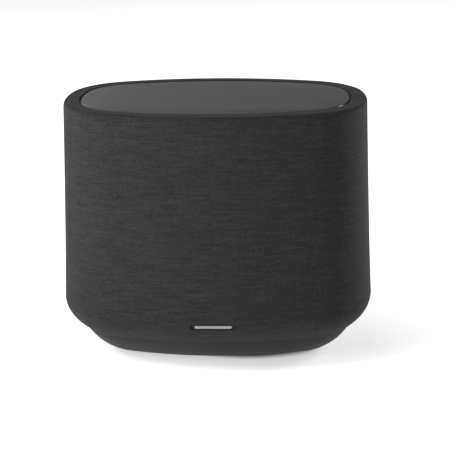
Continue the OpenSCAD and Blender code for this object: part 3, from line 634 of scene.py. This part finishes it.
ROW_STEP, COL_STEP = 3.2, 2.6  # usual spacing of the mesh's rows and columns
SEAMS = (ROUND / 4, 3 * ROUND / 4)  # lengths round the body to the side seams
PANEL_HEIGHTS, BADGE_HEIGHTS = (84.5, 51.5), (56, 45)  # the openings' heights, with a margin
PANEL_HALF, PANEL_STRAIGHT, BADGE_HALF = 53, 30, 24  # the same for half their widths


def sleeve_rows(line):
    """Lengths down the sleeve's line of the mesh's rows, finer at the rim, openings and tuck."""
    along = lengths_along(line)
    panel_top, panel_end = (at_height(line, z, along) for z in PANEL_HEIGHTS)
    badge_top, badge_end = (at_height(line, z, along) for z in BADGE_HEIGHTS)
    lip_end, roll_end, total = LIP_DEPTH + 1, 30, float(along[-1])
    return uneven(total, ROW_STEP, [
        (0, lip_end, 0.6), (lip_end, roll_end, 1.1),
        (panel_top, panel_end, 1.2), (badge_top, badge_end, 0.7), (badge_end, total, 1.5),
    ])


def sleeve_cols():
    """Lengths round the body of the mesh's columns, finer at the openings and side seams."""
    back = ROUND / 2
    return uneven(ROUND, COL_STEP, [
        (0, BADGE_HALF, 0.8), (ROUND - BADGE_HALF, ROUND, 0.8),
        (back - PANEL_HALF, back - PANEL_STRAIGHT, 0.9),
        (back - PANEL_STRAIGHT, back + PANEL_STRAIGHT, 2.0),
        (back + PANEL_STRAIGHT, back + PANEL_HALF, 0.9),
        *[(at - 2, at + 2, 0.25) for at in SEAMS],
    ])[:-1]


def slide_to_edge(opening, at, profile, rows, verts, uv):
    """Moves the vertices numbered at, of the skin with this profile, onto an opening's edge."""
    side = opening[3]
    _, x, z = in_stadium(verts[at, 0], verts[at, 2], opening)
    inset = at_height(profile, z, profile[:, 0])
    y = np.sqrt((SIDE_R - inset) ** 2 - x**2) + SIDE_Y
    verts[at] = np.column_stack([x, side * y, z])
    turn = SIDE_R * np.arcsin(x / (SIDE_R - inset))
    uv[at, 1] = at_height(profile, z, rows)
    uv[at, 0] = np.where(turn < 0, ROUND + turn, turn) if side < 0 else ROUND / 2 - turn


def end_walls(quads, size):
    """Quads between the two skins where they end: the openings, the lip and the seam."""
    edges = {}
    for q in quads:
        for a, b in zip(q, np.roll(q, -1)):
            key = (min(a, b), max(a, b))
            edges[key] = None if key in edges else (a, b)
    return [(pair[1], pair[0], pair[0] + size, pair[1] + size) for pair in edges.values() if pair]


def finish_map(sleeve):
    """Gives the last column's corners that cross the map's end the full length round."""
    layer = sleeve.data.uv_layers["weave"].data
    for poly in sleeve.data.polygons:
        us = [layer[i].uv.x for i in poly.loop_indices]
        if max(us) - min(us) > 0.5 * ROUND * MM:
            for i in poly.loop_indices:
                if layer[i].uv.x < 0.25 * ROUND * MM:
                    layer[i].uv.x += ROUND * MM


def build_sleeve():
    """The cloth as two skins with walls between them, and openings for badge and rear panel."""
    line = skin_profile()
    rows, cols = sleeve_rows(line), sleeve_cols()
    sunk = SEAM_DEPTH * sum(np.exp(-((cols - at) / SEAM_W) ** 2) for at in SEAMS)
    outer = resampled(line, rows)
    inner = offset_line(outer, CLOTH_T)
    into = (inner - outer) / CLOTH_T
    n, verts, uv = len(cols), [], []
    for profile, give in ((outer, sunk), (inner, 0 * sunk)):
        for (inset, z), (dx, dz), v in zip(profile, into, rows):
            verts.append(loop_at(cols, inset + dx * give, z + dz * give))
            uv.append(np.column_stack([cols, np.full(n, v)]))
    verts, uv = np.vstack(verts), np.vstack(uv)
    quads = np.array(grid_faces(len(rows), n, False))
    centre = verts[quads].mean(axis=1)
    gone = np.zeros(len(quads), bool)
    for opening in (BADGE, PANEL):
        depth, _, _ = in_stadium(centre[:, 0], centre[:, 2], opening)
        gone |= (depth < 0) & (centre[:, 1] * opening[3] > 0.5 * HALF_D)
    # every vertex shared by a removed quad and a kept one slides onto the edge of its opening
    size = len(rows) * n
    kept = set(quads[~gone].ravel().tolist())
    for opening in (BADGE, PANEL):
        lost = set(quads[gone & (centre[:, 1] * opening[3] > 0)].ravel().tolist())
        rim = np.array(sorted(lost & kept))
        for shift, profile in ((0, outer), (size, inner)):
            slide_to_edge(opening, rim + shift, profile, rows, verts, uv)
    skins = [tuple(q) for q in quads[~gone]] + [tuple(q[::-1] + size) for q in quads[~gone]]
    faces = skins + end_walls(quads[~gone], size)
    used = np.unique(np.concatenate([np.array(f) for f in faces]))
    renumber = np.full(len(verts), -1)
    renumber[used] = np.arange(len(used))
    faces = [tuple(renumber[list(f)]) for f in faces]
    sleeve = mesh_object("cloth_sleeve", verts[used], faces, uv=uv[used], sharp_above=50)
    finish_map(sleeve)
    dress(sleeve, "cloth")
    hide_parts("fabric_sleeve")


build_sleeve()

# ---- Lid glass ----


def build_lid():
    """The glass with a chamfer whose two edges are slightly rounded."""
    glass_lo, glass_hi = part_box("top_glass")
    low, top = glass_lo.z / MM, glass_hi.z / MM
    s = even_lengths(720)
    edge, cap = GLASS_INSET, GLASS_INSET + 30
    c, r, below = GLASS_CHAMFER, 0.12, 0.15  # the chamfer, its rounding, the lower chamfer
    profile = [
        (cap, low), (edge + below, low), (edge, low + below),
        (edge, top - c - r), (edge + 0.3 * r, top - c), (edge + c, top - 0.3 * r),
        (edge + c + r, top), (cap, top),
    ]
    loops = [loop_at(s, inset, z) for inset, z in profile]
    lid = lofted("lid_glass", loops, capped=True, sharp_above=60)
    dress(lid, "lid_glass")
    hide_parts("top_glass")


build_lid()

# ---- Plinth ----


def build_plinth():
    """The dish, the flange over the foot ring and the collar inside the cloth's seam."""
    s = even_lengths(600)
    rim_z, floor_z, collar_z, flange_z = SEAM_Z - 0.02, FOOT_H + 3.2, 42.0, FOOT_H + 1.6
    # insets: the dish's flat underside, the foot ring's groove, the flange's end and the collar
    flat, groove, flange_end, collar_out, collar_in = 56, 57, 69.5, 26, 29
    rim = (TUCK_IN + 0.05, rim_z - 0.12)
    outer = bezier([rim, (30.3, FOOT_H + 8.6), (50.6, FOOT_H), (flat, FOOT_H)], 40)
    inner = bezier([(flat, floor_z), (51, floor_z), (36, 12.5), (collar_in, 23)], 20)
    profile = [
        (TUCK_IN + 0.2, rim_z), *outer,
        (groove, FOOT_H), (groove, flange_z), (flange_end, flange_z), (flange_end, floor_z),
        *inner, (collar_in, collar_z), (collar_out, collar_z), (collar_out, rim_z),
    ]
    plinth = lofted("plinth", [loop_at(s, inset, z) for inset, z in profile])
    dress(plinth, "plinth_plastic")
    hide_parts("base_plinth")


build_plinth()

# ---- Floor, lights and camera ----

FLOOR_REACH = 6.0
# The floor's painted glow under the body, close to it, further out and far off, the distances over
# which it goes from each to the next, and their middle. The dim glow under and round the body is a
# painted shadow, its middle shifted to the right. The outline's half width and half depth count as
# 1.
PAINTED_GLOW_RINGS = (0.0, 0.52, 0.64, 0.9)
PAINTED_GLOW_SPANS = ((0.4, 0.53), (0.8, 1.3), (1.3, 5.0))
PAINTED_SHADOW_MIDDLE = (0.2, 0, 0)

WORLD_STRENGTH = 0.01
LIGHTS_AIM = (0, 0, 0.12)
LIGHTS = [  # name, place, size in metres and power in watts
    ("key", (-0.9, -0.5, 1.0), (0.5, 0.5), 14),
    ("front_left", (-1.0, -0.9, 0.6), (0.4, 0.4), 8),
    ("left_back", (-0.8, 1.3, 1.0), (0.8, 0.8), 2.5),
    ("right", (1.0, 0.5, 0.45), (0.3, 0.6), 9),
    ("back", (-0.3, 1.9, 0.9), (2.0, 0.8), 4),
]

# The camera: degrees to the right, above and of roll; then its aim, distance and lens
VIEW_TURN, VIEW_TILT, VIEW_ROLL = 2.93, 16.44, 0.81
VIEW_AIM = (0.0070, 0.0338, 0.113)
VIEW_DISTANCE = 1.7
LENS, SENSOR_WIDTH = 131.5, 36.0


def build_floor():
    """A white floor glowing with painted light, dimmed to a painted shadow round the body."""
    reach = FLOOR_REACH
    mesh = bpy.data.meshes.new("floor")
    corners = [(-reach, -reach, 0), (reach, -reach, 0), (reach, reach, 0), (-reach, reach, 0)]
    mesh.from_pydata(corners, [], [(0, 1, 2, 3)])
    floor = bpy.data.objects.new("floor", mesh)
    bpy.context.scene.collection.objects.link(floor)
    m = Nodes("floor_painted_glow", (0.86, 0.86, 0.86), 0.8, Specular_IOR_Level=0.1)
    pale = [(0.3, (0.855, 0.855, 0.855)), (0.7, (0.865, 0.865, 0.865))]
    m.put("Base Color", m.tones(m.noise(30.0, 3.0), pale))
    spot = m.add("ShaderNodeVectorMath", operation="DISTANCE")
    m.fill(spot.inputs[0], m.scaled(1 / (HALF_W * MM), 1 / (HALF_D * MM), 1.0))
    spot.inputs[1].default_value = PAINTED_SHADOW_MIDDLE
    away = spot.outputs["Value"]
    under, close, out, far = PAINTED_GLOW_RINGS
    # painted light: the floor glows, dimmed to a painted shadow under the body that reaches further
    # out on its right
    m.put("Emission Color", (1, 1, 1, 1))
    first = m.span(away, *PAINTED_GLOW_SPANS[0], under, close)
    second = m.span(away, *PAINTED_GLOW_SPANS[1], 0.0, out - close)
    third = m.span(away, *PAINTED_GLOW_SPANS[2], 0.0, far - out)
    m.put("Emission Strength", m.math("ADD", first, m.math("ADD", second, third)))
    mesh.materials.append(m.mat)


def area_light(name, place, size, power):
    data = bpy.data.lights.new(name, "AREA")
    data.shape = "RECTANGLE"
    data.size, data.size_y = size
    data.energy = power
    light = bpy.data.objects.new(name, data)
    light.location = place
    aim = Vector(LIGHTS_AIM) - Vector(place)
    light.rotation_euler = aim.to_track_quat("-Z", "Y").to_euler()
    bpy.context.scene.collection.objects.link(light)


def build_lights():
    world = bpy.data.worlds.new("studio")
    world.use_nodes = True
    back = world.node_tree.nodes["Background"]
    back.inputs["Color"].default_value = (1, 1, 1, 1)
    back.inputs["Strength"].default_value = WORLD_STRENGTH
    bpy.context.scene.world = world
    for light in LIGHTS:
        area_light(*light)


def build_camera():
    """The view of the photograph: slightly from the right and above, with a small roll."""
    turn, tilt, roll = (math.radians(angle) for angle in (VIEW_TURN, VIEW_TILT, VIEW_ROLL))
    flat = math.cos(tilt)
    back = Vector((math.sin(turn) * flat, -math.cos(turn) * flat, math.sin(tilt)))
    level = Vector((math.cos(turn), math.sin(turn), 0))
    upright = back.cross(level)
    right = level * math.cos(roll) - upright * math.sin(roll)
    up = level * math.sin(roll) + upright * math.cos(roll)
    data = bpy.data.cameras.new("camera")
    data.lens = LENS
    data.sensor_width = SENSOR_WIDTH
    camera = bpy.data.objects.new("camera", data)
    axes = Matrix((right, up, back)).transposed().to_4x4()
    camera.matrix_world = Matrix.Translation(Vector(VIEW_AIM) + back * VIEW_DISTANCE) @ axes
    bpy.context.scene.collection.objects.link(camera)
    bpy.context.scene.camera = camera


build_floor()
build_lights()
build_camera()
bpy.context.scene.view_settings.view_transform = "Standard"

bpy.context.view_layer.update()
